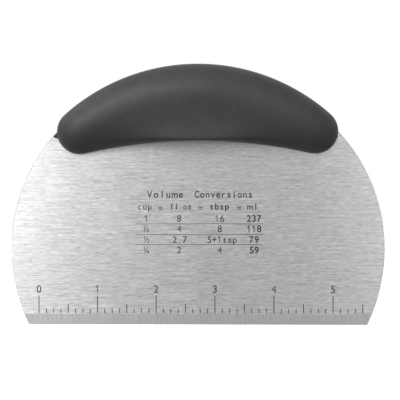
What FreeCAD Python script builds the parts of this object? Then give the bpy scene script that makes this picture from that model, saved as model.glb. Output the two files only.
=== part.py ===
"""Bench scraper: a stainless plate with a ground edge, riveted between two plastic core
halves, with a soft grip moulded over them.

Frame, in millimetres: +X runs along the edge, to the right as the printed face is read,
+Y points from the printed front to the plain back, and +Z points up from the bench.
The origin is the middle of the cutting edge, at the plate's mid-thickness.
"""

import FreeCAD
import Part

import math
import os

from FreeCAD import Vector

# ---- Plate ---------------------------------------------------------------------------
plate_width = 161.0        # across the two side arcs
plate_thickness = 1.0
side_radius = 74.7         # radius of each side arc
widest_height = 32.6       # height of the widest point above the edge
bare_height = 79.4         # bare steel from the edge to the grip, at the middle
grind_height = 4.6         # height of the strip ground along the front of the edge
edge_land = 0.4            # blunt width left at the edge
rim_break = 0.12           # chamfer round both side arcs

# ---- Tang: the part of the plate inside the grip --------------------------------------
tang_cover = 12.0          # from the grip's crown down to the top of the tang
shoulder_rise = 2.1        # shoulders above the grip's end-lobe centres
shoulder_relief = 1.5      # radius in the corner where the tang leaves its shoulder

# ---- Grip: soft overmould -------------------------------------------------------------
grip_height = 33.3         # at the middle
lobe_radius = 9.8          # radius of each rounded end, seen from the front
lobe_rise = 4.0            # lobe centres above the underside's middle
rim_cover = 0.2            # how far the grip's ends reach past the plate's rim
grip_depth = 23.0          # front to back, at the fullest part of the middle
lobe_depth = 19.4          # front to back, at the lobes
lip_depth = 19.2           # front to back, along the underside's middle
lip_round = 1.0            # round between the flat underside and the flanks
flank_start = 0.15         # the flanks widen between these shares of the grip's height
flank_end = 0.75
crown_squareness = 2.5     # 2 is a plain oval crown; more is squarer
closing_squareness = 10    # how late the skin closes towards the grip's ends
grip_wall = 2.6            # thickness of the soft layer over the core
nub_reach = 1.95           # moulding nub, outwards from the left end of the grip
nub_drop = 2.1             # moulding nub's tip below the lobe centres
nub_tip_radius = 0.55
nub_base_radius = 1.45
nub_sink = 0.6             # how far the nub's root is sunk into the grip's end
nub_root_drop = 1.6        # nub's root below the lobe centres
nub_cover = 0.6            # soft layer over the plate's front where the nub laps it

# ---- Core: two rigid halves -----------------------------------------------------------
core_wall = 2.0            # wall round the pockets inside each half
rib_thickness = 1.6
rib_shares = (-1.3, -0.75, -0.25, 0.25, 0.75, 1.3)    # shares of the outer rivets' angle
boss_wall = 1.8            # wall round each rivet, pin and anchor hole

# ---- Fasteners ------------------------------------------------------------------------
rivet_line = 18.3          # rivet centres below the grip's crown line
rivet_end_margin = 18.8    # outer rivets inboard of the lobe centres
pin_share = 0.5            # pins, as a share of the outer rivets' angle
rivet_radius = 2.0
rivet_head_radius = 3.6
rivet_head_height = 1.2
rivet_head_round = 0.6
rivet_tail_radius = 3.2
rivet_tail_height = 1.4
rivet_seat = 4.6           # heads bear on the core this far from the mid-plane
recess_margin = 0.4        # recess in the core round each rivet head
pin_radius = 1.5
pin_reach = 2.5            # pin length beyond the plate's front face
anchor_radius = 1.4        # holes that the soft layer runs through, front to back
anchor_shares = (-1.0, -0.5, 0.5, 1.0)    # shares of the outer rivets' angle

# ---- Clearances -----------------------------------------------------------------------
rivet_clearance = 0.05     # radial, round each rivet's shank
pin_clearance = 0.1        # radial, round each locating pin, and past its end
nub_back_clearance = 0.1   # nub's back face short of the plate's back face
bare_face_gap = 0.3        # between the grip's outline and the bare steel's own face

# ---- How finely the grip's skin is drawn ----------------------------------------------
skin_stations = 26         # sections along the grip
skin_points = 20           # points on each half of a section
lip_turn = 0.25            # share of those points on the underside and its lip

far = 200.0                # longer than the whole scraper, for cutting tools
overrun = 1.0              # how far the grinding tool stands clear of the plate
same_place = 1e-4          # points nearer than this are the same point


# ---- Worked-out sizes -----------------------------------------------------------------
def rim_x(height):
    """Distance of the plate's rim from the middle, at a height on a side arc."""
    return side_centre_x + math.sqrt(side_radius**2 - (height - widest_height) ** 2)


half_thickness = plate_thickness / 2
side_centre_x = plate_width / 2 - side_radius
edge_half_width = rim_x(0.0)

crown_height = bare_height + grip_height
lobe_height = bare_height + lobe_rise
grip_half_length = rim_x(lobe_height) + rim_cover
lobe_x = grip_half_length - lobe_radius

# The crown arc passes over the middle and rounds into the lobes, which lie inside it;
# the underside arc passes under the middle and meets the lobes from outside.
crown_over_lobe = crown_height - lobe_height
crown_radius = (lobe_x**2 + crown_over_lobe**2 - lobe_radius**2) / (
    2 * (crown_over_lobe - lobe_radius)
)
crown_centre = crown_height - crown_radius
under_radius = (lobe_x**2 + lobe_rise**2 - lobe_radius**2) / (
    2 * (lobe_radius - lobe_rise)
)
under_centre = bare_height - under_radius

shoulder_height = lobe_height + shoulder_rise
tang_radius = crown_radius - tang_cover
tang_half_width = math.sqrt(tang_radius**2 - (shoulder_height - crown_centre) ** 2)

rivet_ring = crown_radius - rivet_line
rivet_angle = math.asin((lobe_x - rivet_end_margin) / rivet_ring)
anchor_ring = crown_radius - (grip_wall + tang_cover) / 2


def on_ring(radius, angle):
    """(x, z) on a circle about the crown's centre, at an angle from straight up."""
    return radius * math.sin(angle), crown_centre + radius * math.cos(angle)


rivet_places = {
    "left": on_ring(rivet_ring, -rivet_angle),
    "middle": on_ring(rivet_ring, 0.0),
    "right": on_ring(rivet_ring, rivet_angle),
}
pin_places = [on_ring(rivet_ring, side * pin_share * rivet_angle) for side in (-1, 1)]
anchor_places = [on_ring(anchor_ring, share * rivet_angle) for share in anchor_shares]
rib_angles = [share * rivet_angle for share in rib_shares]


# ---- Drawing helpers ------------------------------------------------------------------
def point(x, z, y=0.0):
    """A point given by its place on the front view and its depth."""
    return Vector(x, y, z)


def arc(start, middle, end):
    """An arc edge through three points."""
    return Part.Arc(start, middle, end).toShape()


def prism(edges, y_from, y_to):
    """The solid of a closed front-view outline, from one depth to another."""
    face = Part.Face(Part.Wire(edges))
    face.translate(Vector(0, y_from, 0))
    return face.extrude(Vector(0, y_to - y_from, 0))


def rod(place, radius, y_from, y_to):
    """A cylinder that runs front to back through a front-view place."""
    return Part.makeCylinder(
        radius, y_to - y_from, point(place[0], place[1], y_from), Vector(0, 1, 0)
    )


def rivet_holes():
    """Cutting tools for the rivets' holes, through the plate and both core halves."""
    hole = rivet_radius + rivet_clearance
    return [rod(place, hole, -far, far) for place in rivet_places.values()]


def pin_holes():
    """Cutting tools for the locating pins' holes in the plate."""
    return [rod(place, pin_radius + pin_clearance, -far, far) for place in pin_places]


def side_of_plane(front):
    """A block that fills everything in front of, or behind, the mid-plane."""
    return Part.makeBox(
        2 * far, far, 2 * far, Vector(-far, -far if front else 0.0, -far)
    )


# ---- Plate ----------------------------------------------------------------------------
def plate_outline():
    """Front-view outline: edge, side arcs, shoulders and the arched tang."""
    right = [
        point(edge_half_width, 0),
        point(plate_width / 2, widest_height),
        point(rim_x(shoulder_height), shoulder_height),
        point(tang_half_width, shoulder_height),
    ]
    left = [point(-p.x, p.z) for p in right]
    tang_top = point(0, crown_centre + tang_radius)
    return [
        Part.makeLine(left[0], right[0]),
        arc(right[0], right[1], right[2]),
        Part.makeLine(right[2], right[3]),
        arc(right[3], tang_top, left[3]),
        Part.makeLine(left[3], left[2]),
        arc(left[2], left[1], left[0]),
    ]


def edges_at(solid, x, z):
    """The front-to-back edges of a solid at a front-view place."""
    return [
        e
        for e in solid.Edges
        if all(math.hypot(v.X - x, v.Z - z) < same_place for v in e.Vertexes)
    ]


def side_arc_edges(solid):
    """The side arcs' edges on the front and back faces."""
    return [
        e
        for e in solid.Edges
        if isinstance(e.Curve, Part.Circle)
        and abs(e.Curve.Radius - side_radius) < same_place
    ]


def grind_tool():
    """A prism along the edge whose slope leaves the ground strip and the land."""
    land_y = half_thickness - edge_land
    outside_y = -half_thickness - overrun
    corners = [
        Vector(-far, -half_thickness, grind_height),
        Vector(-far, land_y, 0.0),
        Vector(-far, land_y, -overrun),
        Vector(-far, outside_y, -overrun),
        Vector(-far, outside_y, grind_height),
    ]
    face = Part.Face(Part.makePolygon(corners + corners[:1]))
    return face.extrude(Vector(2 * far, 0, 0))


def bare_face_line():
    """The line on the back face, just clear of the grip, where the bare steel ends."""
    reach = lobe_radius + bare_face_gap
    radius = under_radius - bare_face_gap
    span = under_radius + lobe_radius
    touch_x = lobe_x * radius / span
    touch_z = under_centre + (lobe_height - under_centre) * radius / span
    end_x = lobe_x + reach
    side = math.radians(45)
    mid_x = lobe_x + reach * math.sin(side)
    mid_z = lobe_height - reach * math.cos(side)
    y = half_thickness
    return Part.Wire(
        [
            arc(
                point(-end_x, lobe_height, y),
                point(-mid_x, mid_z, y),
                point(-touch_x, touch_z, y),
            ),
            arc(
                point(-touch_x, touch_z, y),
                point(0, under_centre + radius, y),
                point(touch_x, touch_z, y),
            ),
            arc(
                point(touch_x, touch_z, y),
                point(mid_x, mid_z, y),
                point(end_x, lobe_height, y),
            ),
        ]
    )


def make_plate():
    """The ground stainless plate, with its tang and its holes."""
    plate = prism(plate_outline(), -half_thickness, half_thickness)
    corners = []
    for side in (-1, 1):
        corners += edges_at(plate, side * tang_half_width, shoulder_height)
    plate = plate.makeFillet(shoulder_relief, corners)
    plate = plate.makeChamfer(rim_break, side_arc_edges(plate))
    plate = plate.cut([grind_tool()] + rivet_holes() + pin_holes())
    divided, _ = plate.generalFuse([bare_face_line()])
    return divided.Solids[0]


# ---- Grip skin, shared by the soft layer, the core and its pockets ---------------------
def ease(t):
    """Rises smoothly from 0 to 1."""
    t = min(max(t, 0.0), 1.0)
    return t * t * (3 - 2 * t)


def crown_z(x, inset):
    """Height of the upper outline at x, with the outline drawn in by inset."""
    x = abs(x)
    touch_x = crown_radius * lobe_x / (crown_radius - lobe_radius)
    if x < touch_x * (1 - inset / crown_radius):
        return crown_centre + math.sqrt((crown_radius - inset) ** 2 - x**2)
    return lobe_height + math.sqrt(max((lobe_radius - inset) ** 2 - (x - lobe_x) ** 2, 0))


def under_z(x, inset):
    """Height of the lower outline at x, with the outline drawn in by inset."""
    x = abs(x)
    touch_x = lobe_x * (under_radius + inset) / (under_radius + lobe_radius)
    if x < touch_x:
        return under_centre + math.sqrt((under_radius + inset) ** 2 - x**2)
    return lobe_height - math.sqrt(max((lobe_radius - inset) ** 2 - (x - lobe_x) ** 2, 0))


def middle_place(turn, low, high, inset):
    """Half depth and height on the middle's section, at a turn from underside to crown.

    The underside is flat, with a tight lip; the flanks widen for the fingers; the crown
    is rounded.
    """
    half_lip = lip_depth / 2 - inset
    if turn < lip_turn:
        flat = half_lip - lip_round
        along = flat + lip_round * math.pi / 2
        along *= 1 - (1 - turn / lip_turn) ** 2
        if along < flat:
            return along, low
        bend = (along - flat) / lip_round
        return flat + lip_round * math.sin(bend), low + lip_round * (1 - math.cos(bend))
    rise = math.sin(math.pi / 2 * (turn - lip_turn) / (1 - lip_turn))
    height = low + lip_round + (high - low - lip_round) * rise
    share = (height - low) / (high - low)
    flank = ease((share - flank_start) / (flank_end - flank_start))
    full = half_lip + (grip_depth - lip_depth) / 2 * flank
    crown = math.sqrt(max(1 - max(2 * share - 1, 0) ** crown_squareness, 0))
    return full * crown, height


def lobe_place(turn, low, high, inset):
    """Half depth and height on a lobe's oval section, at a turn from underside to crown."""
    angle = math.pi * turn
    share = (1 - math.cos(angle)) / 2
    return (lobe_depth / 2 - inset) * math.sin(angle), low + share * (high - low)


def skin_section(x, inset):
    """A closed section of the skin, square to X, between the middle's and a lobe's."""
    low = under_z(x, inset)
    high = crown_z(x, inset)
    towards_lobe = ease(abs(x) / lobe_x)
    closing = math.sqrt(1 - (abs(x) / (grip_half_length - inset)) ** closing_squareness)
    points = []
    for k in range(2 * skin_points):
        turn = 1 - abs(1 - k / skin_points)
        side = -closing if k < skin_points else closing
        middle = middle_place(turn, low, high, inset)
        lobe = lobe_place(turn, low, high, inset)
        depth = middle[0] + (lobe[0] - middle[0]) * towards_lobe
        height = middle[1] + (lobe[1] - middle[1]) * towards_lobe
        points.append(point(x, height, side * depth))
    curve = Part.BSplineCurve()
    curve.interpolate(points, PeriodicFlag=True)
    return Part.Wire(curve.toShape())


def skin(inset):
    """The grip's whole outer form as one solid, drawn in by inset all round."""
    half_length = grip_half_length - inset
    angles = [
        -math.pi / 2 + math.pi * i / skin_stations for i in range(1, skin_stations)
    ]
    profiles = [Part.Vertex(point(-half_length, lobe_height))]
    profiles += [skin_section(half_length * math.sin(a), inset) for a in angles]
    profiles += [Part.Vertex(point(half_length, lobe_height))]
    return Part.makeLoft(profiles, True, False)


# ---- Core -----------------------------------------------------------------------------
def core_block():
    """Both core halves and their pockets as one block, with recesses and anchor holes."""
    recess = rivet_head_radius + recess_margin
    cuts = [rod(place, anchor_radius, -far, far) for place in anchor_places]
    for place in rivet_places.values():
        cuts.append(rod(place, recess, -far, -rivet_seat))
        cuts.append(rod(place, recess, rivet_seat, far))
    return skin(grip_wall).cut(cuts)


def rib(angle):
    """A slab across the core, along a ray from the crown's centre."""
    slab = Part.makeBox(rib_thickness, 2 * far, far, Vector(-rib_thickness / 2, -far, 0))
    slab.rotate(Vector(0, 0, 0), Vector(0, 1, 0), math.degrees(angle))
    slab.translate(Vector(0, 0, crown_centre))
    return slab


def core_pockets():
    """The space inside the core's walls, less its ribs and bosses."""
    rivet_boss = rivet_head_radius + recess_margin + boss_wall
    kept = [rib(angle) for angle in rib_angles]
    kept += [rod(place, rivet_boss, -far, far) for place in rivet_places.values()]
    kept += [rod(place, pin_radius + boss_wall, -far, far) for place in pin_places]
    kept += [rod(place, anchor_radius + boss_wall, -far, far) for place in anchor_places]
    return skin(grip_wall + core_wall).cut(kept)


def core_half(front, block, pockets, plate):
    """One half of the core, with its rivet holes and its pins or sockets."""
    pin_end = -half_thickness - pin_reach
    half = block.common(side_of_plane(front))
    half = half.cut([pockets, plate] + rivet_holes())
    if front:
        hole = pin_radius + pin_clearance
        return half.cut([rod(p, hole, pin_end - pin_clearance, 0.0) for p in pin_places])
    return half.fuse([rod(p, pin_radius, pin_end, rivet_seat) for p in pin_places])


# ---- Rivets ---------------------------------------------------------------------------
def make_rivet(place):
    """A solid rivet: a rounded head in front and a flattened tail behind."""
    head_y = -rivet_seat - rivet_head_height
    tail_y = rivet_seat + rivet_tail_height
    head = rod(place, rivet_head_radius, head_y, -rivet_seat)
    rim = [
        e
        for e in head.Edges
        if isinstance(e.Curve, Part.Circle)
        and abs(e.Curve.Center.y - head_y) < same_place
    ]
    head = head.makeFillet(rivet_head_round, rim)
    shank = rod(place, rivet_radius, -rivet_seat, rivet_seat)
    tail = rod(place, rivet_tail_radius, rivet_seat, tail_y)
    return head.fuse([shank, tail])


# ---- Grip -----------------------------------------------------------------------------
def make_nub():
    """The small moulding nub at the left end: two rounds joined by their tangents."""
    base = (-grip_half_length + nub_base_radius - nub_sink, lobe_height - nub_root_drop)
    tip = (-grip_half_length - nub_reach + 2 * nub_tip_radius, lobe_height - nub_drop)
    dx = tip[0] - base[0]
    dz = tip[1] - base[1]
    apart = math.hypot(dx, dz)
    heading = math.atan2(dz, dx)
    lean = math.acos((nub_base_radius - nub_tip_radius) / apart)

    def at(centre, radius, angle):
        return point(
            centre[0] + radius * math.cos(angle), centre[1] + radius * math.sin(angle)
        )

    left = heading + lean
    right = heading - lean
    outline = [
        arc(
            at(base, nub_base_radius, left),
            at(base, nub_base_radius, heading + math.pi),
            at(base, nub_base_radius, right),
        ),
        Part.makeLine(at(base, nub_base_radius, right), at(tip, nub_tip_radius, right)),
        arc(
            at(tip, nub_tip_radius, right),
            at(tip, nub_tip_radius, heading),
            at(tip, nub_tip_radius, left),
        ),
        Part.makeLine(at(tip, nub_tip_radius, left), at(base, nub_base_radius, left)),
    ]
    return prism(
        outline, -half_thickness - nub_cover, half_thickness - nub_back_clearance
    )


def make_grip(block, plate, rivets):
    """The soft overmould, which fills everything between its skin and what it covers."""
    return skin(0.0).fuse(make_nub()).cut([block, plate] + rivets)


# ---- The whole scraper ----------------------------------------------------------------
def main():
    os.makedirs("parts", exist_ok=True)
    plate = make_plate()
    block = core_block()
    pockets = core_pockets()
    rivets = {name: make_rivet(place) for name, place in rivet_places.items()}
    parts = {
        "blade": plate,
        "core_front": core_half(True, block, pockets, plate),
        "core_back": core_half(False, block, pockets, plate),
        "grip": make_grip(block, plate, list(rivets.values())),
    }
    for name, rivet in rivets.items():
        parts["rivet_" + name] = rivet
    for name, shape in parts.items():
        shape.exportStep(os.path.join("parts", name + ".step"))
        box = shape.BoundBox
        print(
            f"{name}: solids {len(shape.Solids)}, valid {shape.isValid()}, "
            f"volume {shape.Volume:.1f} mm3, "
            f"{box.XLength:.1f} x {box.YLength:.1f} x {box.ZLength:.1f} mm"
        )


main()
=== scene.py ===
"""Looks of a half-round bench scraper: a brushed plate, its printed marks and a soft grip.

Everything is in metres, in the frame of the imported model: +X along the edge, to the right
as the printed face is read, +Y from the printed face to the plain back, and +Z up.
"""

import logging
import math
from dataclasses import dataclass, field
from enum import Enum
from typing import NamedTuple

import bmesh
import bpy
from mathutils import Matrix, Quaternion, Vector

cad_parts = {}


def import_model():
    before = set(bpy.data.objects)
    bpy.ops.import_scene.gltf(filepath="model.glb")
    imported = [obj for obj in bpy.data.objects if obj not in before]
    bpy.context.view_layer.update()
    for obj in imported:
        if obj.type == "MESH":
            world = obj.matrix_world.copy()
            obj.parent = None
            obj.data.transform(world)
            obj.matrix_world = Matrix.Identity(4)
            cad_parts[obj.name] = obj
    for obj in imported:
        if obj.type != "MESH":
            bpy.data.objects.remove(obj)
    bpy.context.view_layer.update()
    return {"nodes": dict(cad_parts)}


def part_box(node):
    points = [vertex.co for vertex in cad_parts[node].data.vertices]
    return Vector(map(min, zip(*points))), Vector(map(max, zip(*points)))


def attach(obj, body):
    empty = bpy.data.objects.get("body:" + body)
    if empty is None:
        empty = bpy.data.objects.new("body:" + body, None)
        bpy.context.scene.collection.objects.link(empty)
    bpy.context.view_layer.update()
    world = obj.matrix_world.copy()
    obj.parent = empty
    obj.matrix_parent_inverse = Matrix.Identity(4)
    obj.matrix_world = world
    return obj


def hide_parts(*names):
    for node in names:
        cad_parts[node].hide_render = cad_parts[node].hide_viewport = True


logging.basicConfig(level=logging.INFO, format="%(name)s: %(message)s")
log = logging.getLogger("bench_scraper")

MM = 0.001
INCH = 25.4 * MM
BODY = "root"

# Points nearer than the first are merged; nearer than the second, they share a place.
MERGE_DISTANCE = 1e-7
SAME_PLACE = 1e-6

Colour = tuple[float, float, float]
Place = tuple[float, float, float]
Span = tuple[float, float]


# ---- Working by hand: small wrappers round the operators ------------------------------
def deselect_all() -> None:
    """Leaves nothing selected, so that the next operator acts on its own piece only."""
    if bpy.context.object is not None and bpy.context.object.mode != "OBJECT":
        bpy.ops.object.mode_set(mode="OBJECT")
    bpy.ops.object.select_all(action="DESELECT")


def pick(*objects: bpy.types.Object) -> None:
    """Selects only these objects and makes the last one active."""
    deselect_all()
    for chosen in objects:
        chosen.select_set(True)
    bpy.context.view_layer.objects.active = objects[-1]


def name_piece(piece: bpy.types.Object, name: str) -> bpy.types.Object:
    """Gives a piece and its mesh the same plain name, and returns the piece."""
    piece.name = name
    piece.data.name = name
    return piece


def settle(piece: bpy.types.Object) -> None:
    """Moves a piece's place, turn and scale into its mesh, so that it sits at the origin."""
    pick(piece)
    bpy.ops.object.transform_apply(location=True, rotation=True, scale=True)


def apply_modifier(piece: bpy.types.Object, kind: str, **settings: object) -> None:
    """Adds one modifier, sets it and applies it.

    Args:
        piece: the piece to change.
        kind: the modifier's type, such as "SOLIDIFY".
        settings: the modifier's own settings by name.
    """
    pick(piece)
    modifier = piece.modifiers.new(kind.lower(), kind)
    for setting, value in settings.items():
        setattr(modifier, setting, value)
    bpy.ops.object.modifier_apply(modifier=modifier.name)


def close_mesh(piece: bpy.types.Object) -> None:
    """Merges a piece's doubled points and turns every face outwards."""
    pick(piece)
    bpy.ops.object.mode_set(mode="EDIT")
    bpy.ops.mesh.select_all(action="SELECT")
    bpy.ops.mesh.remove_doubles(threshold=MERGE_DISTANCE)
    bpy.ops.mesh.normals_make_consistent(inside=False)
    bpy.ops.object.mode_set(mode="OBJECT")


def copy_piece(piece: bpy.types.Object, shift: Place) -> bpy.types.Object:
    """Copies a piece, with a mesh of its own, and moves the copy.

    Args:
        piece: the piece to copy.
        shift: how far the copy moves.

    Returns:
        The copy, settled at the origin.
    """
    pick(piece)
    bpy.ops.object.duplicate(linked=False)
    copy = bpy.context.object
    bpy.ops.transform.translate(value=shift)
    settle(copy)
    return copy


def join_pieces(pieces: list[bpy.types.Object], name: str) -> bpy.types.Object:
    """Joins pieces that are one thing, such as all the marks of a ruler.

    Args:
        pieces: the pieces, of which the last keeps its object.
        name: the joined piece's name.

    Returns:
        The joined piece.
    """
    pick(*pieces)
    if len(pieces) > 1:
        bpy.ops.object.join()
    return name_piece(bpy.context.object, name)


def dress(piece: bpy.types.Object, material: bpy.types.Material) -> None:
    """Gives a piece one material, in place of what it had."""
    piece.data.materials.clear()
    piece.data.materials.append(material)


def finish_piece(piece: bpy.types.Object, material: bpy.types.Material) -> None:
    """Dresses a new piece and lets it ride on the scraper.

    Args:
        piece: the piece.
        material: its material.
    """
    dress(piece, material)
    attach(piece, BODY)
    log.info("%s: %d faces", piece.name, len(piece.data.polygons))


# ---- Finishes -------------------------------------------------------------------------
class ShaderBench:
    """Adds nodes to one material and wires them to its shader."""

    def __init__(self, name: str) -> None:
        """Starts an empty material with one principled shader."""
        self.material = bpy.data.materials.new(name)
        self.material.use_nodes = True
        self.tree = self.material.node_tree
        self.shader = self.tree.nodes["Principled BSDF"]

    def add(self, kind: str, **settings: object) -> bpy.types.Node:
        """Adds a node.

        Args:
            kind: the node's type, without "ShaderNode".
            settings: the node's own settings by name.

        Returns:
            The new node.
        """
        node = self.tree.nodes.new("ShaderNode" + kind)
        for setting, value in settings.items():
            setattr(node, setting, value)
        return node

    def wire(self, source: bpy.types.NodeSocket, target: bpy.types.NodeSocket) -> None:
        """Links an output to an input."""
        self.tree.links.new(source, target)

    def feed(self, source: bpy.types.NodeSocket, socket: str) -> None:
        """Links an output to one of the shader's own inputs."""
        self.wire(source, self.shader.inputs[socket])

    def place(self) -> bpy.types.NodeSocket:
        """The point on the piece, in metres."""
        return self.add("TexCoord").outputs["Object"]

    def grain(self, stretch: Place, detail: float = 3.0,
              rough: float = 0.6) -> bpy.types.NodeSocket:
        """A noise with its own fineness along each axis.

        Args:
            stretch: features per metre along X, Y and Z.
            detail: how many finer layers are added.
            rough: how strong the finer layers are.

        Returns:
            The noise, about 0.3 to 0.7.
        """
        mapping = self.add("Mapping")
        mapping.inputs["Scale"].default_value = stretch
        self.wire(self.place(), mapping.inputs["Vector"])
        noise = self.add("TexNoise")
        noise.inputs["Scale"].default_value = 1.0
        noise.inputs["Detail"].default_value = detail
        noise.inputs["Roughness"].default_value = rough
        self.wire(mapping.outputs["Vector"], noise.inputs["Vector"])
        return noise.outputs["Fac"]

    def spread(self, source: bpy.types.NodeSocket, low: float, high: float,
               start: float = 0.3, end: float = 0.7) -> bpy.types.NodeSocket:
        """Maps start..end of a value to low..high.

        Args:
            source: the value.
            low: what start becomes.
            high: what end becomes.
            start: the value's low end.
            end: the value's high end.

        Returns:
            The mapped value.
        """
        ranger = self.add("MapRange")
        ranger.inputs["From Min"].default_value = start
        ranger.inputs["From Max"].default_value = end
        ranger.inputs["To Min"].default_value = low
        ranger.inputs["To Max"].default_value = high
        self.wire(source, ranger.inputs["Value"])
        return ranger.outputs["Result"]

    def maths(self, operation: str, first: bpy.types.NodeSocket,
              second: bpy.types.NodeSocket | float) -> bpy.types.NodeSocket:
        """Works out one step with two values.

        Args:
            operation: the Math node's operation.
            first: the first value.
            second: the second value, a socket or a number.

        Returns:
            The result.
        """
        node = self.add("Math", operation=operation)
        self.wire(first, node.inputs[0])
        if isinstance(second, float):
            node.inputs[1].default_value = second
        else:
            self.wire(second, node.inputs[1])
        return node.outputs["Value"]

    def blend_colours(self, share: bpy.types.NodeSocket, first: Colour | bpy.types.NodeSocket,
                      second: Colour | bpy.types.NodeSocket) -> bpy.types.NodeSocket:
        """Mixes two colours.

        Args:
            share: 0 gives the first colour and 1 the second.
            first: a colour, or a socket that gives one.
            second: a colour, or a socket that gives one.

        Returns:
            The mixed colour.
        """
        mix = self.add("Mix", data_type="RGBA")
        self.wire(share, mix.inputs["Factor"])
        for socket, colour in ((mix.inputs[6], first), (mix.inputs[7], second)):
            if isinstance(colour, tuple):
                socket.default_value = (*colour, 1.0)
            else:
                self.wire(colour, socket)
        return mix.outputs[2]

    def blend_values(self, share: bpy.types.NodeSocket, first: bpy.types.NodeSocket,
                     second: bpy.types.NodeSocket) -> bpy.types.NodeSocket:
        """Mixes two values; 0 gives the first and 1 the second."""
        mix = self.add("Mix", data_type="FLOAT")
        self.wire(share, mix.inputs["Factor"])
        self.wire(first, mix.inputs[2])
        self.wire(second, mix.inputs[3])
        return mix.outputs[0]

    def tint(self, share: bpy.types.NodeSocket, dark: Colour, light: Colour) -> None:
        """Colours the surface from dark to light as a noise rises."""
        self.feed(self.blend_colours(self.spread(share, 0.0, 1.0), dark, light), "Base Color")

    def relief(self, height: bpy.types.NodeSocket, depth: float) -> None:
        """Turns a height into bumps on the surface.

        Args:
            height: the height, 0 to 1.
            depth: how high 1 stands, in metres.
        """
        bump = self.add("Bump")
        bump.inputs["Strength"].default_value = 1.0
        bump.inputs["Distance"].default_value = depth
        self.wire(height, bump.inputs["Height"])
        self.feed(bump.outputs["Normal"], "Normal")

    def fix(self, **values: float | Colour) -> None:
        """Sets the shader's own sockets, named with underscores for spaces."""
        for socket, value in values.items():
            target = self.shader.inputs[socket.replace("_", " ")]
            target.default_value = (*value, 1.0) if isinstance(value, tuple) else value


@dataclass(frozen=True)
class PlateSteel:
    """Stainless sheet brushed along the edge, with a strip ground across it, and a rougher rim
    painted darker as shade over the lights' glint.
    """

    dark: Colour = (0.56, 0.56, 0.565)
    light: Colour = (0.95, 0.95, 0.955)
    ground_dark: Colour = (0.80, 0.80, 0.805)
    ground_light: Colour = (1.0, 1.0, 1.0)
    # The rim's colours: a rougher sheared finish, and darker than steel as painted shade that dulls
    # the glint of the lights on it.
    sheared_dark: Colour = (0.24, 0.24, 0.245)
    sheared_light: Colour = (0.36, 0.36, 0.365)
    long_grain: Place = (60.0, 60.0, 3300.0)
    short_grain: Place = (380.0, 380.0, 5600.0)
    cross_grain: Place = (5200.0, 200.0, 160.0)
    stroke_contrast: Span = (0.38, 0.62)
    stroke_depth: float = 0.006 * MM
    brushed_rough: Span = (0.26, 0.40)
    ground_rough: Span = (0.30, 0.36)
    sheared_rough: Span = (0.58, 0.68)
    anisotropy: float = 0.75
    strip_height: float = 4.6 * MM
    strip_front_of: float = 0.35 * MM
    rim_slope: float = 0.85

    def make(self) -> bpy.types.Material:
        """Builds the plate's material."""
        bench = ShaderBench("plate_steel")
        long_strokes = bench.grain(self.long_grain, detail=4.0, rough=0.6)
        short_strokes = bench.grain(self.short_grain, detail=2.0, rough=0.5)
        strokes = bench.maths("MULTIPLY", bench.maths("ADD", long_strokes, short_strokes), 0.5)
        cross_strokes = bench.grain(self.cross_grain, detail=2.0, rough=0.5)
        brushed = bench.blend_colours(bench.spread(strokes, 0.0, 1.0, *self.stroke_contrast),
                                      self.dark, self.light)
        ground = bench.blend_colours(bench.spread(cross_strokes, 0.0, 1.0), self.ground_dark,
                                     self.ground_light)
        # Painted shade on the rim: a dark colour that stands in for its glint being dulled.
        sheared_and_shaded = bench.blend_colours(bench.spread(short_strokes, 0.0, 1.0), self.sheared_dark,
                                      self.sheared_light)
        strip, rim = self.strip_share(bench), self.rim_share(bench)
        faces = bench.blend_colours(strip, brushed, ground)
        bench.feed(bench.blend_colours(rim, faces, sheared_and_shaded), "Base Color")
        rough = bench.blend_values(strip, bench.spread(strokes, *self.brushed_rough),
                                   bench.spread(cross_strokes, *self.ground_rough))
        rough = bench.blend_values(rim, rough, bench.spread(short_strokes, *self.sheared_rough))
        bench.feed(rough, "Roughness")
        bench.relief(bench.blend_values(strip, strokes, cross_strokes), self.stroke_depth)
        upright = bench.add("Tangent", direction_type="RADIAL", axis="X")
        bench.feed(upright.outputs["Tangent"], "Tangent")
        bench.fix(Metallic=1.0, Anisotropic=self.anisotropy)
        return bench.material

    def rim_share(self, bench: ShaderBench) -> bpy.types.NodeSocket:
        """1 on the rim, which faces along the plate and is rougher and painted with shade, and 0 on
        the front, back and grind.
        """
        facing = bench.add("NewGeometry")
        split = bench.add("SeparateXYZ")
        bench.wire(facing.outputs["True Normal"], split.inputs["Vector"])
        sideways = bench.maths("ABSOLUTE", split.outputs["Y"], 0.0)
        return bench.maths("LESS_THAN", sideways, self.rim_slope)

    def strip_share(self, bench: ShaderBench) -> bpy.types.NodeSocket:
        """1 on the ground strip along the front of the edge, and 0 elsewhere."""
        split = bench.add("SeparateXYZ")
        bench.wire(bench.place(), split.inputs["Vector"])
        low = bench.maths("LESS_THAN", split.outputs["Z"], self.strip_height)
        front = bench.maths("LESS_THAN", split.outputs["Y"], self.strip_front_of)
        return bench.maths("MULTIPLY", low, front)


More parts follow.
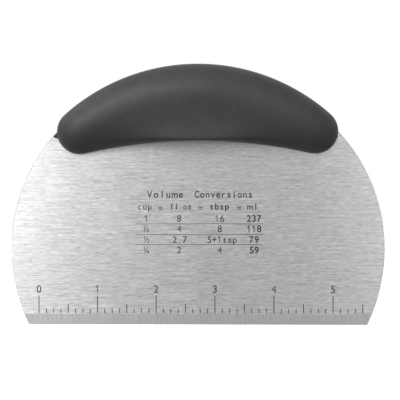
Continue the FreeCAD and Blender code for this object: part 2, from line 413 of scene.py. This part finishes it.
@dataclass(frozen=True)
class SoftTouch:
    """Black elastomer with a fine matt mould texture and a faint parting line."""

    deep: Colour = (0.014, 0.014, 0.015)
    worn: Colour = (0.027, 0.027, 0.028)
    mottle_scale: float = 140.0
    grit_scale: float = 1900.0
    grit_share: float = 0.8
    relief_depth: float = 0.09 * MM
    roughness: Span = (0.62, 0.52)
    sheen: float = 0.12
    sheen_roughness: float = 0.6
    parting_half_width: float = 0.09 * MM

    def make(self) -> bpy.types.Material:
        """Builds the soft grip's material."""
        bench = ShaderBench("soft_touch")
        mottle = bench.grain((self.mottle_scale,) * 3)
        grit = bench.grain((self.grit_scale,) * 3, detail=2.0)
        shade = bench.maths("ADD", bench.spread(mottle, 0.0, 0.5), bench.spread(grit, 0.0, 0.5))
        bench.feed(bench.blend_colours(shade, self.deep, self.worn), "Base Color")
        bench.feed(bench.spread(shade, *self.roughness, 0.0, 1.0), "Roughness")
        height = bench.maths("ADD", bench.maths("MULTIPLY", grit, self.grit_share),
                             self.parting_line(bench))
        bench.relief(height, self.relief_depth)
        bench.fix(Specular_IOR_Level=0.5, Sheen_Weight=self.sheen,
                  Sheen_Roughness=self.sheen_roughness)
        return bench.material

    def parting_line(self, bench: ShaderBench) -> bpy.types.NodeSocket:
        """1 on the line where the mould's halves met, and 0 elsewhere."""
        split = bench.add("SeparateXYZ")
        bench.wire(bench.place(), split.inputs["Vector"])
        off_line = bench.maths("ABSOLUTE", split.outputs["Y"], 0.0)
        return bench.spread(off_line, 1.0, 0.0, 0.0, self.parting_half_width)


@dataclass(frozen=True)
class EtchedMark:
    """Dark matt marking, a little uneven where the brushed grain shows through."""

    dark: Colour = (0.022, 0.022, 0.024)
    light: Colour = (0.055, 0.055, 0.058)
    wear_grain: Place = (300.0, 300.0, 4200.0)
    relief_depth: float = 0.004 * MM
    roughness: Span = (0.45, 0.65)

    def make(self) -> bpy.types.Material:
        """Builds the marks' material."""
        bench = ShaderBench("etched_mark")
        worn = bench.grain(self.wear_grain)
        bench.tint(worn, self.dark, self.light)
        bench.feed(bench.spread(worn, *self.roughness), "Roughness")
        bench.relief(worn, self.relief_depth)
        bench.fix(Specular_IOR_Level=0.3)
        return bench.material


@dataclass(frozen=True)
class MouldedPlastic:
    """Rigid black plastic as it leaves the mould, for the core inside the grip."""

    dark: Colour = (0.030, 0.030, 0.031)
    light: Colour = (0.050, 0.050, 0.052)
    flow_grain: Place = (90.0, 300.0, 90.0)
    pebble_grain: Place = (2500.0, 2500.0, 2500.0)
    relief_depth: float = 0.01 * MM
    roughness: Span = (0.35, 0.5)

    def make(self) -> bpy.types.Material:
        """Builds the core's material."""
        bench = ShaderBench("moulded_plastic")
        flow = bench.grain(self.flow_grain, detail=4.0)
        bench.tint(flow, self.dark, self.light)
        bench.feed(bench.spread(flow, *self.roughness), "Roughness")
        bench.relief(bench.grain(self.pebble_grain), self.relief_depth)
        return bench.material


@dataclass(frozen=True)
class RivetMetal:
    """Bare aluminium, drawn and then set, for the rivets inside the grip."""

    dark: Colour = (0.60, 0.60, 0.61)
    light: Colour = (0.78, 0.78, 0.79)
    scuff_grain: Place = (900.0, 4000.0, 900.0)
    relief_depth: float = 0.01 * MM
    roughness: Span = (0.3, 0.5)

    def make(self) -> bpy.types.Material:
        """Builds the rivets' material."""
        bench = ShaderBench("rivet_metal")
        scuffs = bench.grain(self.scuff_grain, detail=4.0)
        bench.tint(scuffs, self.dark, self.light)
        bench.feed(bench.spread(scuffs, *self.roughness), "Roughness")
        bench.relief(scuffs, self.relief_depth)
        bench.fix(Metallic=1.0)
        return bench.material


@dataclass(frozen=True)
class StudioPaper:
    """Plain pale paper for the floor, which glows a little."""

    dark: Colour = (0.90, 0.90, 0.90)
    light: Colour = (0.94, 0.94, 0.94)
    fibre_grain: Place = (400.0, 400.0, 400.0)
    roughness: float = 0.9
    shine: float = 0.2
    glow: float = 0.62

    def make(self) -> bpy.types.Material:
        """Builds the floor's material."""
        bench = ShaderBench("studio_paper")
        fibres = bench.grain(self.fibre_grain, detail=4.0)
        bench.tint(fibres, self.dark, self.light)
        bench.fix(Roughness=self.roughness, Specular_IOR_Level=self.shine,
                  Emission_Color=(1.0, 1.0, 1.0), Emission_Strength=self.glow)
        return bench.material


# ---- Plate ----------------------------------------------------------------------------
@dataclass
class Plate:
    """The steel plate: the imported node, which keeps its shape and gets its finish."""

    node: bpy.types.Object
    front: float
    steel: PlateSteel = field(default_factory=PlateSteel)

    def dress(self) -> None:
        """Gives the plate its brushed and ground steel."""
        dress(self.node, self.steel.make())
        log.info("plate dressed")


# ---- Handle ---------------------------------------------------------------------------
@dataclass
class SoftGrip:
    """The soft grip: a curved sausage with full lobes, a waisted middle and a nub.

    Sections are square to the edge. Each one is a ring from the underside to the crown,
    whose rows of points are drawn in or out to the grip's depth at that height.
    """

    crown_height: float
    half_length: float
    full_depth: float = 23.0 * MM
    lobe_depth: float = 19.4 * MM
    lip_depth: float = 19.2 * MM
    lobe_radius: float = 9.8 * MM
    lobe_rise: float = 4.0 * MM
    underside_height: float = 79.4 * MM
    lip_round: float = 0.5 * MM
    lip_turn: float = 0.25
    crown_squareness: float = 2.5
    closing_squareness: int = 10
    flank_start: float = 0.15
    flank_end: float = 0.75
    sections: int = 44
    points: int = 40
    smoothing: int = 2
    crease: float = math.radians(40)
    nub_reach: float = 1.95 * MM
    nub_drop: float = 2.1 * MM
    nub_tip_radius: float = 0.55 * MM
    nub_base_radius: float = 1.45 * MM
    nub_front: float = -1.1 * MM
    nub_back: float = 0.4 * MM
    nub_sink: float = 0.6 * MM
    nub_root_drop: float = 1.6 * MM
    nub_soften: float = 0.22 * MM
    nub_soften_steps: int = 4
    nub_sides: int = 32
    rubber: SoftTouch = field(default_factory=SoftTouch)

    def __post_init__(self) -> None:
        """Works out the arcs of the outline from its few sizes."""
        self.lobe_x = self.half_length - self.lobe_radius
        self.lobe_height = self.underside_height + self.lobe_rise
        rise = self.crown_height - self.lobe_height
        self.crown_radius = (self.lobe_x**2 + rise**2 - self.lobe_radius**2) / (
            2 * (rise - self.lobe_radius))
        self.crown_centre = self.crown_height - self.crown_radius
        self.under_radius = (self.lobe_x**2 + self.lobe_rise**2 - self.lobe_radius**2) / (
            2 * (self.lobe_radius - self.lobe_rise))
        self.under_centre = self.underside_height - self.under_radius

    def lobe_half_height(self, x: float) -> float:
        """Half the height of the rounded end at x."""
        return math.sqrt(max(self.lobe_radius**2 - (abs(x) - self.lobe_x) ** 2, 0.0))

    def crown(self, x: float) -> float:
        """Height of the upper outline at x."""
        touch = self.crown_radius * self.lobe_x / (self.crown_radius - self.lobe_radius)
        if abs(x) < touch:
            return self.crown_centre + math.sqrt(self.crown_radius**2 - x**2)
        return self.lobe_height + self.lobe_half_height(x)

    def underside(self, x: float) -> float:
        """Height of the lower outline at x."""
        touch = self.lobe_x * self.under_radius / (self.under_radius + self.lobe_radius)
        if abs(x) < touch:
            return self.under_centre + math.sqrt(self.under_radius**2 - x**2)
        return self.lobe_height - self.lobe_half_height(x)

    def middle_place(self, turn: float, low: float, high: float) -> tuple[float, float]:
        """A place on the middle's section: flat underside, tight lip, flanks and crown.

        Args:
            turn: how far round the section, 0 at the underside and 1 at the crown.
            low: height of the underside.
            high: height of the crown.

        Returns:
            The distance from the mid-plane, and the height.
        """
        if turn < self.lip_turn:
            flat = self.lip_depth / 2 - self.lip_round
            along = flat + self.lip_round * math.pi / 2
            along *= 1 - (1 - turn / self.lip_turn) ** 2
            if along < flat:
                return along, low
            bend = (along - flat) / self.lip_round
            return (flat + self.lip_round * math.sin(bend),
                    low + self.lip_round * (1 - math.cos(bend)))
        rise = math.sin(math.pi / 2 * (turn - self.lip_turn) / (1 - self.lip_turn))
        height = low + self.lip_round + (high - low - self.lip_round) * rise
        share = (height - low) / (high - low)
        flank = self.ease((share - self.flank_start) / (self.flank_end - self.flank_start))
        full = self.lip_depth + (self.full_depth - self.lip_depth) * flank
        crown = math.sqrt(max(1 - max(2 * share - 1, 0.0) ** self.crown_squareness, 0.0))
        return full / 2 * crown, height

    def place(self, x: float, turn: float) -> tuple[float, float]:
        """A place on the section at x, between the middle's section and a lobe's oval.

        Args:
            x: the section's place along the edge.
            turn: how far round the section, 0 at the underside and 1 at the crown.

        Returns:
            The distance from the mid-plane, and the height.
        """
        low, high = self.underside(x), self.crown(x)
        depth, height = self.middle_place(turn, low, high)
        oval_depth = self.lobe_depth / 2 * math.sin(math.pi * turn)
        oval_height = low + (high - low) * (1 - math.cos(math.pi * turn)) / 2
        towards_lobe = self.ease(abs(x) / self.lobe_x)
        closing = math.sqrt(1 - (abs(x) / self.half_length) ** self.closing_squareness)
        return (closing * (depth + (oval_depth - depth) * towards_lobe),
                height + (oval_height - height) * towards_lobe)

    @staticmethod
    def ease(step: float) -> float:
        """Rises smoothly from 0 to 1."""
        step = min(max(step, 0.0), 1.0)
        return step * step * (3 - 2 * step)

    def add_ring(self, x: float) -> None:
        """Adds the section at x in edit mode, and draws its rows to the grip's depth."""
        low, high = self.underside(x), self.crown(x)
        bpy.ops.mesh.primitive_circle_add(
            vertices=self.points, radius=(high - low) / 2,
            location=(x, 0.0, (low + high) / 2), rotation=(0.0, math.pi / 2, 0.0))
        mesh = bmesh.from_edit_mesh(bpy.context.object.data)
        ring = sorted((v for v in mesh.verts if v.select), key=lambda v: v.co.z)
        rows = [ring[k:k + 2] for k in range(1, len(ring) - 1, 2)]
        for count, row in enumerate(rows, start=1):
            for v in ring:
                v.select_set(v in row)
            depth, height = self.place(x, count / (len(rows) + 1))
            draw = depth / abs(row[0].co.y)
            bpy.ops.transform.resize(value=(1.0, draw, 1.0), center_override=(x, 0.0, height))
            bpy.ops.transform.translate(value=(0.0, 0.0, height - row[0].co.z))

    def bridge(self, first: float, second: float) -> None:
        """Bridges the sections at two places along the edge."""
        mesh = bmesh.from_edit_mesh(bpy.context.object.data)
        for v in mesh.verts:
            v.select_set(min(abs(v.co.x - first), abs(v.co.x - second)) < SAME_PLACE)
        mesh.select_flush_mode()
        bpy.ops.mesh.bridge_edge_loops()

    def close_end(self, x: float, side: int) -> None:
        """Fills the last section and draws its middle out to the grip's end.

        Args:
            x: the last section's place.
            side: -1 for the left end and 1 for the right.
        """
        mesh = bmesh.from_edit_mesh(bpy.context.object.data)
        for v in mesh.verts:
            v.select_set(abs(v.co.x - x) < SAME_PLACE)
        mesh.select_flush_mode()
        bpy.ops.mesh.edge_face_add()
        bpy.ops.mesh.poke()
        mesh = bmesh.from_edit_mesh(bpy.context.object.data)
        for v in mesh.verts:
            middle = Vector((x, 0.0, self.lobe_height))
            v.select_set((v.co - middle).length < SAME_PLACE)
        mesh.select_flush_mode()
        bpy.ops.transform.translate(value=(side * self.half_length - x, 0.0, 0.0))

    def build_body(self) -> bpy.types.Object:
        """Builds the grip's closed, smoothed body from its rings."""
        deselect_all()
        turns = [-0.5 + k / self.sections for k in range(1, self.sections)]
        places = [self.half_length * math.sin(math.pi * turn) for turn in turns]
        bpy.ops.mesh.primitive_circle_add(vertices=3, radius=MM)
        body = bpy.context.object
        bpy.ops.object.mode_set(mode="EDIT")
        bpy.ops.mesh.select_all(action="SELECT")
        bpy.ops.mesh.delete(type="VERT")
        for place in places:
            self.add_ring(place)
        for first, second in zip(places, places[1:]):
            self.bridge(first, second)
        self.close_end(places[0], -1)
        self.close_end(places[-1], 1)
        bpy.ops.object.mode_set(mode="OBJECT")
        close_mesh(body)
        apply_modifier(body, "SUBSURF", levels=self.smoothing, render_levels=self.smoothing)
        return body

    def build_nub(self) -> bpy.types.Object:
        """Builds the moulding nub at the left end, as a rounded hull round two short pins."""
        base = (-self.half_length + self.nub_base_radius - self.nub_sink,
                self.lobe_height - self.nub_root_drop)
        tip = (-self.half_length - self.nub_reach + 2 * self.nub_tip_radius,
               self.lobe_height - self.nub_drop)
        depth = self.nub_back - self.nub_front
        middle = (self.nub_back + self.nub_front) / 2
        deselect_all()
        bpy.ops.mesh.primitive_cylinder_add(
            vertices=self.nub_sides, radius=self.nub_base_radius, depth=depth,
            location=(base[0], middle, base[1]), rotation=(math.pi / 2, 0.0, 0.0))
        nub = bpy.context.object
        settle(nub)
        bpy.ops.object.mode_set(mode="EDIT")
        bpy.ops.mesh.primitive_cylinder_add(
            vertices=self.nub_sides, radius=self.nub_tip_radius, depth=depth,
            location=(tip[0], middle, tip[1]), rotation=(math.pi / 2, 0.0, 0.0))
        bpy.ops.mesh.select_all(action="SELECT")
        bpy.ops.mesh.convex_hull()
        bpy.ops.object.mode_set(mode="OBJECT")
        close_mesh(nub)
        apply_modifier(nub, "BEVEL", width=self.nub_soften, segments=self.nub_soften_steps,
                       limit_method="ANGLE")
        return nub

    def build(self) -> None:
        """Builds the grip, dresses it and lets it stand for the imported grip."""
        grip = self.build_body()
        nub = self.build_nub()
        apply_modifier(grip, "BOOLEAN", operation="UNION", object=nub, solver="EXACT")
        bpy.data.objects.remove(nub)
        close_mesh(grip)
        pick(grip)
        bpy.ops.object.shade_smooth_by_angle(angle=self.crease)
        name_piece(grip, "soft_grip")
        finish_piece(grip, self.rubber.make())
        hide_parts("grip")


@dataclass
class Handle:
    """The handle: the core halves and rivets inside, and the soft grip over them."""

    nodes: dict[str, bpy.types.Object]
    grip: SoftGrip
    plastic: MouldedPlastic = field(default_factory=MouldedPlastic)
    metal: RivetMetal = field(default_factory=RivetMetal)

    def dress_inside(self) -> None:
        """Gives the hidden core halves and rivets their finishes."""
        finishes = {"core": self.plastic.make(), "rivet": self.metal.make()}
        for name, node in self.nodes.items():
            kind = name.partition("_")[0]
            if kind in finishes:
                dress(node, finishes[kind])
        log.info("core and rivets dressed")

    def build(self) -> None:
        """Dresses what is inside and builds the grip."""
        self.dress_inside()
        self.grip.build()


# ---- Printed marks --------------------------------------------------------------------
class Tick(Enum):
    """The three kinds of ruler mark, each with the height its line reaches."""

    INCH = 12.5 * MM
    HALF = 8.9 * MM
    EIGHTH = 6.9 * MM


class Run(NamedTuple):
    """One run of lettering.

    Attributes:
        words: what it says.
        middle: its middle along the edge.
        pitch: from one letter's cell to the next.
        weight: how much each stroke is thickened, as a share of the letters' size.
    """

    words: str
    middle: float
    pitch: float
    weight: float


@dataclass
class Film:
    """A thin layer of marking on the plate's front face.

    Attributes:
        front: the plate's front face.
        sink: how far the marking reaches into the plate.
        thickness: how thick the layer is.
        cap_share: the type's capital height, as a share of its size.
        stroke_share: the width of a drawn stroke, as a share of the height.
        corner_share: how far a line's corners are softened, as a share of its width.
        corner_steps: how many steps each corner has.
        curve_steps: how many steps each stretch of a letter's outline has.
        cell_fill: how much of its cell a letter takes up.
        flag_joint: how far down the stem the figure one's flag joins it, in stroke widths.
        flag_reach: how far the flag reaches out, as a share of the height.
        flag_drop: how far the flag drops, as a share of the height.
        trims: letters whose strokes are kept thinner, so that they stay open and clean.
        widths: letters that may be wider than the rest, and by how much.
    """

    front: float
    sink: float = 0.005 * MM
    thickness: float = 0.025 * MM
    cap_share: float = 0.682
    stroke_share: float = 0.07
    corner_share: float = 0.3
    corner_steps: int = 2
    curve_steps: int = 6
    cell_fill: float = 0.84
    flag_joint: float = 1.3
    flag_reach: float = 0.2
    flag_drop: float = 0.2
    trims: dict[str, float] = field(
        default_factory=lambda: {"4": 0.009, "n": 0.007, "r": 0.005, "⅓": 0.007})
    widths: dict[str, float] = field(
        default_factory=lambda: {"½": 1.25, "⅓": 1.25, "¼": 1.25, "m": 1.15})

    def thicken(self, piece: bpy.types.Object) -> None:
        """Gives a flat mark, in the plane of the plate's front face, its thickness."""
        apply_modifier(piece, "SOLIDIFY", thickness=self.thickness, offset=1.0)
        close_mesh(piece)

    def bar(self, left: float, right: float, low: float, high: float) -> bpy.types.Object:
        """Makes a straight line of marking with softened corners.

        Args:
            left: where it starts along the edge.
            right: where it ends along the edge.
            low: its lower edge's height.
            high: its upper edge's height.

        Returns:
            The line.
        """
        deselect_all()
        bpy.ops.mesh.primitive_plane_add(
            size=1.0, location=((left + right) / 2, self.front + self.sink, (low + high) / 2),
            rotation=(math.pi / 2, 0.0, 0.0))
        line = bpy.context.object
        bpy.ops.transform.resize(value=(right - left, 1.0, high - low))
        settle(line)
        bpy.ops.object.mode_set(mode="EDIT")
        bpy.ops.mesh.select_all(action="SELECT")
        corner = min(right - left, high - low) * self.corner_share
        bpy.ops.mesh.bevel(offset=corner, segments=self.corner_steps, affect="VERTICES")
        bpy.ops.object.mode_set(mode="OBJECT")
        self.thicken(line)
        return line

    def flat_one(self, width: float, cap: float) -> bpy.types.Object:
        """Draws a figure one, lying flat: a stem with a short flag at its top.

        Args:
            width: the stroke's width.
            cap: how tall the figure is.

        Returns:
            The flat figure, with the middle of its foot at the origin.
        """
        bpy.ops.mesh.primitive_plane_add(size=1.0, location=(0.0, cap / 2, 0.0))
        one = bpy.context.object
        bpy.ops.transform.resize(value=(width, cap, 1.0))
        settle(one)
        bpy.ops.object.mode_set(mode="EDIT")
        bpy.ops.mesh.select_all(action="SELECT")
        joint = cap - width * self.flag_joint
        margin = width / 4
        bpy.ops.mesh.bisect(plane_co=(0.0, joint, 0.0), plane_no=(0.0, 1.0, 0.0))
        mesh = bmesh.from_edit_mesh(one.data)
        for v in mesh.verts:
            v.select_set(v.co.x < 0.0 and v.co.y > joint - margin)
        mesh.select_flush_mode()
        bpy.ops.mesh.extrude_region_move(
            TRANSFORM_OT_translate={"value": (-self.flag_reach * cap, -self.flag_drop * cap, 0.0)})
        bpy.ops.object.mode_set(mode="OBJECT")
        return one

    def flat_letter(self, letter: str, widest: float, cap: float,
                    weight: float) -> bpy.types.Object:
        """Draws one character, lying flat, and narrows it if it is too wide.

        Args:
            letter: the character.
            widest: the most that it may measure across.
            cap: how tall capitals and numbers are.
            weight: how much each stroke is thickened, as a share of the letters' size.

        Returns:
            The flat character, with the middle of its foot at the origin.
        """
        size = cap / self.cap_share
        if letter == "1":
            return self.flat_one((self.stroke_share + 2 * weight) * size, cap)
        bpy.ops.object.text_add(location=(0.0, 0.0, 0.0))
        text = bpy.context.object
        text.data.body = letter
        text.data.resolution_u = self.curve_steps
        text.data.offset = weight
        bpy.ops.object.convert(target="MESH")
        drawn = bpy.context.object
        xs = [v.co.x for v in drawn.data.vertices]
        narrow = min(size, widest / (max(xs) - min(xs)))
        drawn.location.x = -(max(xs) + min(xs)) / 2 * narrow
        drawn.scale = (narrow, size, 1.0)
        settle(drawn)
        return drawn

    def lettering(self, run: Run, base: float, cap: float) -> bpy.types.Object:
        """Sets one run of letters or numbers, each in a cell of the same width.

        Args:
            run: what it says, and its place, pitch and weight.
            base: the height of its base line.
            cap: how tall its capitals and numbers are.

        Returns:
            The run of letters.
        """
        letters = []
        for count, letter in enumerate(run.words):
            if letter == " ":
                continue
            deselect_all()
            widest = run.pitch * self.cell_fill * self.widths.get(letter, 1.0)
            weight = run.weight - self.trims.get(letter, 0.0)
            drawn = self.flat_letter(letter, widest, cap, weight)
            drawn.location.x = (count - (len(run.words) - 1) / 2) * run.pitch
            settle(drawn)
            letters.append(drawn)
        piece = join_pieces(letters, "run")
        piece.rotation_euler = (math.pi / 2, 0.0, 0.0)
        piece.location = (run.middle, self.front + self.sink, base)
        settle(piece)
        self.thicken(piece)
        return piece


@dataclass
class Ruler:
    """The ruler along the edge, in inches, with eighths and a number at each inch."""

    film: Film
    zero: float = -68.6 * MM
    inches: int = 5
    parts_per_inch: int = 8
    marks_past_last: int = 4
    foot: float = 4.95 * MM
    line_width: float = 0.36 * MM
    number_base: float = 13.8 * MM
    number_height: float = 3.1 * MM
    number_pitch: float = 2.4 * MM
    number_weight: float = 0.004
    mark: EtchedMark = field(default_factory=EtchedMark)

    def kind_at(self, eighths: int) -> Tick:
        """The kind of mark at a count of eighths from zero."""
        if eighths % self.parts_per_inch == 0:
            return Tick.INCH
        return Tick.HALF if eighths % (self.parts_per_inch // 2) == 0 else Tick.EIGHTH

    def build_ticks(self) -> bpy.types.Object:
        """Makes one mark of each kind, copies it along the ruler and joins the copies."""
        half = self.line_width / 2
        first = {kind: self.film.bar(self.zero - half, self.zero + half, self.foot, kind.value)
                 for kind in Tick}
        ticks = []
        last = self.parts_per_inch * self.inches + self.marks_past_last
        for eighths in range(last + 1):
            shift = (eighths * INCH / self.parts_per_inch, 0.0, 0.0)
            ticks.append(copy_piece(first[self.kind_at(eighths)], shift))
        for pattern in first.values():
            bpy.data.objects.remove(pattern)
        return join_pieces(ticks, "ruler_ticks")

    def build_numbers(self) -> bpy.types.Object:
        """Sets a number over each inch mark, and joins the numbers."""
        runs = [Run(str(inch), self.zero + inch * INCH, self.number_pitch, self.number_weight)
                for inch in range(self.inches + 1)]
        numbers = [self.film.lettering(run, self.number_base, self.number_height)
                   for run in runs]
        return join_pieces(numbers, "ruler_numbers")

    def build(self, ink: bpy.types.Material) -> None:
        """Builds and dresses the ruler."""
        finish_piece(self.build_ticks(), ink)
        finish_piece(self.build_numbers(), ink)


# How much the table's letters are thickened, as a share of their size.
LIGHT = 0.006
MEDIUM = 0.016
HEAVY = 0.018


@dataclass
class ConversionTable:
    """The table of kitchen volumes: a heading, a row of units and four ruled rows of numbers."""

    film: Film
    heading_base: float = 54.85 * MM
    heading_cap: float = 2.8 * MM
    unit_base: float = 49.7 * MM
    unit_cap: float = 2.55 * MM
    sign_drop: float = 0.75 * MM
    row_bases: tuple[float, ...] = (44.45 * MM, 40.0 * MM, 35.35 * MM, 30.8 * MM)
    row_cap: float = 2.75 * MM
    pitch: float = 2.2 * MM
    long_run_shift: float = 0.26 * MM
    heading: tuple[Run, ...] = (
        Run("Volume", -13.8 * MM, 2.7 * MM, MEDIUM), Run("Conversions", 11.4 * MM, 2.3 * MM, MEDIUM))
    units: tuple[Run, ...] = (
        Run("cup", -22.7 * MM, pitch, LIGHT), Run("fl oz", -7.1 * MM, 1.9 * MM, LIGHT),
        Run("tbsp", 9.55 * MM, pitch, HEAVY), Run("ml", 24.0 * MM, 2.5 * MM, HEAVY))
    signs: tuple[Run, ...] = (
        Run("=", -15.9 * MM, pitch, LIGHT), Run("=", 1.4 * MM, pitch, LIGHT),
        Run("=", 18.0 * MM, pitch, MEDIUM))
    rows: tuple[tuple[str, ...], ...] = (
        ("1", "8", "16", "237"), ("½", "4", "8", "118"),
        ("⅓", "2.7", "5+1tsp", "79"), ("¼", "2", "4", "59"))
    column_middles: tuple[float, ...] = (-22.0 * MM, -7.8 * MM, 9.7 * MM, 24.5 * MM)
    column_weights: tuple[float, ...] = (LIGHT, LIGHT, LIGHT, HEAVY)
    rule_heights: tuple[float, ...] = (43.5 * MM, 38.9 * MM, 34.55 * MM)
    rule_left: float = -26.4 * MM
    rule_right: float = 28.3 * MM
    rule_width: float = 0.2 * MM

    def build_heading(self) -> bpy.types.Object:
        """Sets the two words of the heading."""
        words = [self.film.lettering(run, self.heading_base, self.heading_cap)
                 for run in self.heading]
        return join_pieces(words, "table_heading")

    def build_units(self) -> bpy.types.Object:
        """Sets the row of units, with an equals sign between each two."""
        units = [self.film.lettering(run, self.unit_base, self.unit_cap) for run in self.units]
        units += [self.film.lettering(run, self.unit_base - self.sign_drop, self.unit_cap)
                  for run in self.signs]
        return join_pieces(units, "table_units")

    def build_numbers(self) -> bpy.types.Object:
        """Sets the four rows of equal volumes, the last column in heavier figures."""
        numbers = []
        for base, row in zip(self.row_bases, self.rows):
            for middle, words, weight in zip(self.column_middles, row, self.column_weights):
                lean = self.long_run_shift * max(len(words) - 2, 0) if weight == LIGHT else 0.0
                run = Run(words, middle + lean, self.pitch, weight)
                numbers.append(self.film.lettering(run, base, self.row_cap))
        return join_pieces(numbers, "table_numbers")

    def build_rules(self) -> bpy.types.Object:
        """Draws the lines between the rows."""
        half = self.rule_width / 2
        rules = [self.film.bar(self.rule_left, self.rule_right, height - half, height + half)
                 for height in self.rule_heights]
        return join_pieces(rules, "table_rules")

    def build(self, ink: bpy.types.Material) -> None:
        """Builds and dresses the table."""
        for piece in (self.build_heading(), self.build_units(), self.build_numbers(),
                      self.build_rules()):
            finish_piece(piece, ink)


# ---- Studio ---------------------------------------------------------------------------
@dataclass(frozen=True)
class SoftBox:
    """A rectangular studio light: its place and size in metres, and its power in watts."""

    name: str
    place: Place
    size: tuple[float, float]
    power: float

    def hang(self, target: Vector) -> None:
        """Adds the light, aimed at a target."""
        deselect_all()
        bpy.ops.object.light_add(type="AREA", location=self.place)
        lamp = bpy.context.object
        lamp.name = self.name
        lamp.data.shape = "RECTANGLE"
        lamp.data.size, lamp.data.size_y = self.size
        lamp.data.energy = self.power
        aim = target - Vector(self.place)
        lamp.rotation_euler = aim.to_track_quat("-Z", "Y").to_euler()
        lamp.visible_camera = False


@dataclass
class Studio:
    """A plain pale floor, soft lights and the camera."""

    aim: Place = (1.19 * MM, 0.0, 53.79 * MM)
    distance: float = 0.70
    turn: float = math.asin(0.042)
    roll: float = -0.00098
    width_seen: float = 172.6 * MM
    sensor_width: float = 36.0
    nearest: float = 10.0 * MM
    floor_radius: float = 2.5
    floor_sides: int = 128
    floor_drop: float = 0.02 * MM
    backdrop: float = 1.0
    surround: tuple[tuple[float, float], ...] = (
        (-1.0, 0.08), (-0.35, 0.27), (0.0, 0.42), (0.35, 0.49), (1.0, 0.42))
    paper: StudioPaper = field(default_factory=StudioPaper)
    lights: tuple[SoftBox, ...] = (
        SoftBox("key_left", (-0.40, -0.76, 0.46), (0.34, 0.5), 6.7),
        SoftBox("strip_right", (0.24, -0.85, 0.28), (0.08, 0.6), 0.68),
        SoftBox("rim_left", (-0.50, 0.02, 0.55), (0.3, 0.3), 1.0),
        SoftBox("front_high", (0.0, -0.62, 0.80), (0.6, 0.4), 0.9),
    )

    def lay_floor(self) -> None:
        """Lays the floor just under the edge."""
        deselect_all()
        bpy.ops.mesh.primitive_circle_add(
            vertices=self.floor_sides, radius=self.floor_radius, fill_type="NGON",
            location=(0.0, 0.0, -self.floor_drop))
        floor = bpy.context.object
        settle(floor)
        name_piece(floor, "studio_floor")
        floor.data.materials.append(self.paper.make())
        floor.visible_diffuse = False
        floor.visible_glossy = False
        floor.visible_shadow = False

    def set_surround(self) -> None:
        """Makes the surround white to look at, and a softer light that fades towards the floor."""
        world = bpy.data.worlds.new("studio")
        bpy.context.scene.world = world
        world.use_nodes = True
        tree = world.node_tree
        tree.nodes.clear()
        path = tree.nodes.new("ShaderNodeLightPath")
        seen = tree.nodes.new("ShaderNodeBackground")
        seen.inputs["Strength"].default_value = self.backdrop
        seen.inputs["Color"].default_value = (1.0, 1.0, 1.0, 1.0)
        light = tree.nodes.new("ShaderNodeBackground")
        tree.links.new(self.surround_level(tree), light.inputs["Strength"])
        light.inputs["Color"].default_value = (1.0, 1.0, 1.0, 1.0)
        mix = tree.nodes.new("ShaderNodeMixShader")
        out = tree.nodes.new("ShaderNodeOutputWorld")
        tree.links.new(path.outputs["Is Camera Ray"], mix.inputs[0])
        tree.links.new(light.outputs[0], mix.inputs[1])
        tree.links.new(seen.outputs[0], mix.inputs[2])
        tree.links.new(mix.outputs[0], out.inputs["Surface"])

    def surround_level(self, tree: bpy.types.NodeTree) -> bpy.types.NodeSocket:
        """Grades the surround's light from straight down to straight up, in its node tree."""
        direction = tree.nodes.new("ShaderNodeTexCoord")
        split = tree.nodes.new("ShaderNodeSeparateXYZ")
        ramp = tree.nodes.new("ShaderNodeFloatCurve")
        halve = tree.nodes.new("ShaderNodeMapRange")
        halve.inputs["From Min"].default_value = -1.0
        tree.links.new(direction.outputs["Generated"], split.inputs["Vector"])
        tree.links.new(split.outputs["Z"], halve.inputs["Value"])
        tree.links.new(halve.outputs["Result"], ramp.inputs["Value"])
        curve = ramp.mapping.curves[0]
        levels = [((height + 1.0) / 2, level) for height, level in self.surround]
        curve.points[0].location, curve.points[1].location = levels[0], levels[-1]
        for level in levels[1:-1]:
            curve.points.new(*level)
        ramp.mapping.update()
        return ramp.outputs["Value"]

    def set_camera(self) -> None:
        """Stands the camera in front of the scraper, a little to its right and barely rolled."""
        aim = Vector(self.aim)
        away = Vector((math.sin(self.turn), -math.cos(self.turn), 0.0))
        deselect_all()
        bpy.ops.object.camera_add(location=aim + away * self.distance)
        camera = bpy.context.object
        camera.name = "front_camera"
        camera.rotation_mode = "QUATERNION"
        level = (-away).to_track_quat("-Z", "Y")
        camera.rotation_quaternion = level @ Quaternion((0.0, 0.0, 1.0), self.roll)
        camera.data.sensor_width = self.sensor_width
        camera.data.lens = self.sensor_width * self.distance / self.width_seen
        camera.data.clip_start = self.nearest
        bpy.context.scene.camera = camera

    def build(self) -> None:
        """Sets up the whole studio."""
        bpy.context.scene.view_settings.view_transform = "Standard"
        self.lay_floor()
        self.set_surround()
        for light in self.lights:
            light.hang(Vector(self.aim))
        self.set_camera()
        log.info("studio set with %d lights", len(self.lights))


def main() -> None:
    """Builds the scraper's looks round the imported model, and then the studio."""
    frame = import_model()
    nodes = frame["nodes"]
    grip_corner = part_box("grip")[1]
    blade_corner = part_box("blade")[0]

    plate = Plate(node=nodes["blade"], front=blade_corner.y)
    plate.dress()
    grip = SoftGrip(crown_height=grip_corner.z, half_length=grip_corner.x)
    Handle(nodes=nodes, grip=grip).build()
    film = Film(front=plate.front)
    ink = EtchedMark().make()
    Ruler(film=film).build(ink)
    ConversionTable(film=film).build(ink)
    Studio().build()


if __name__ == "__main__":
    main()
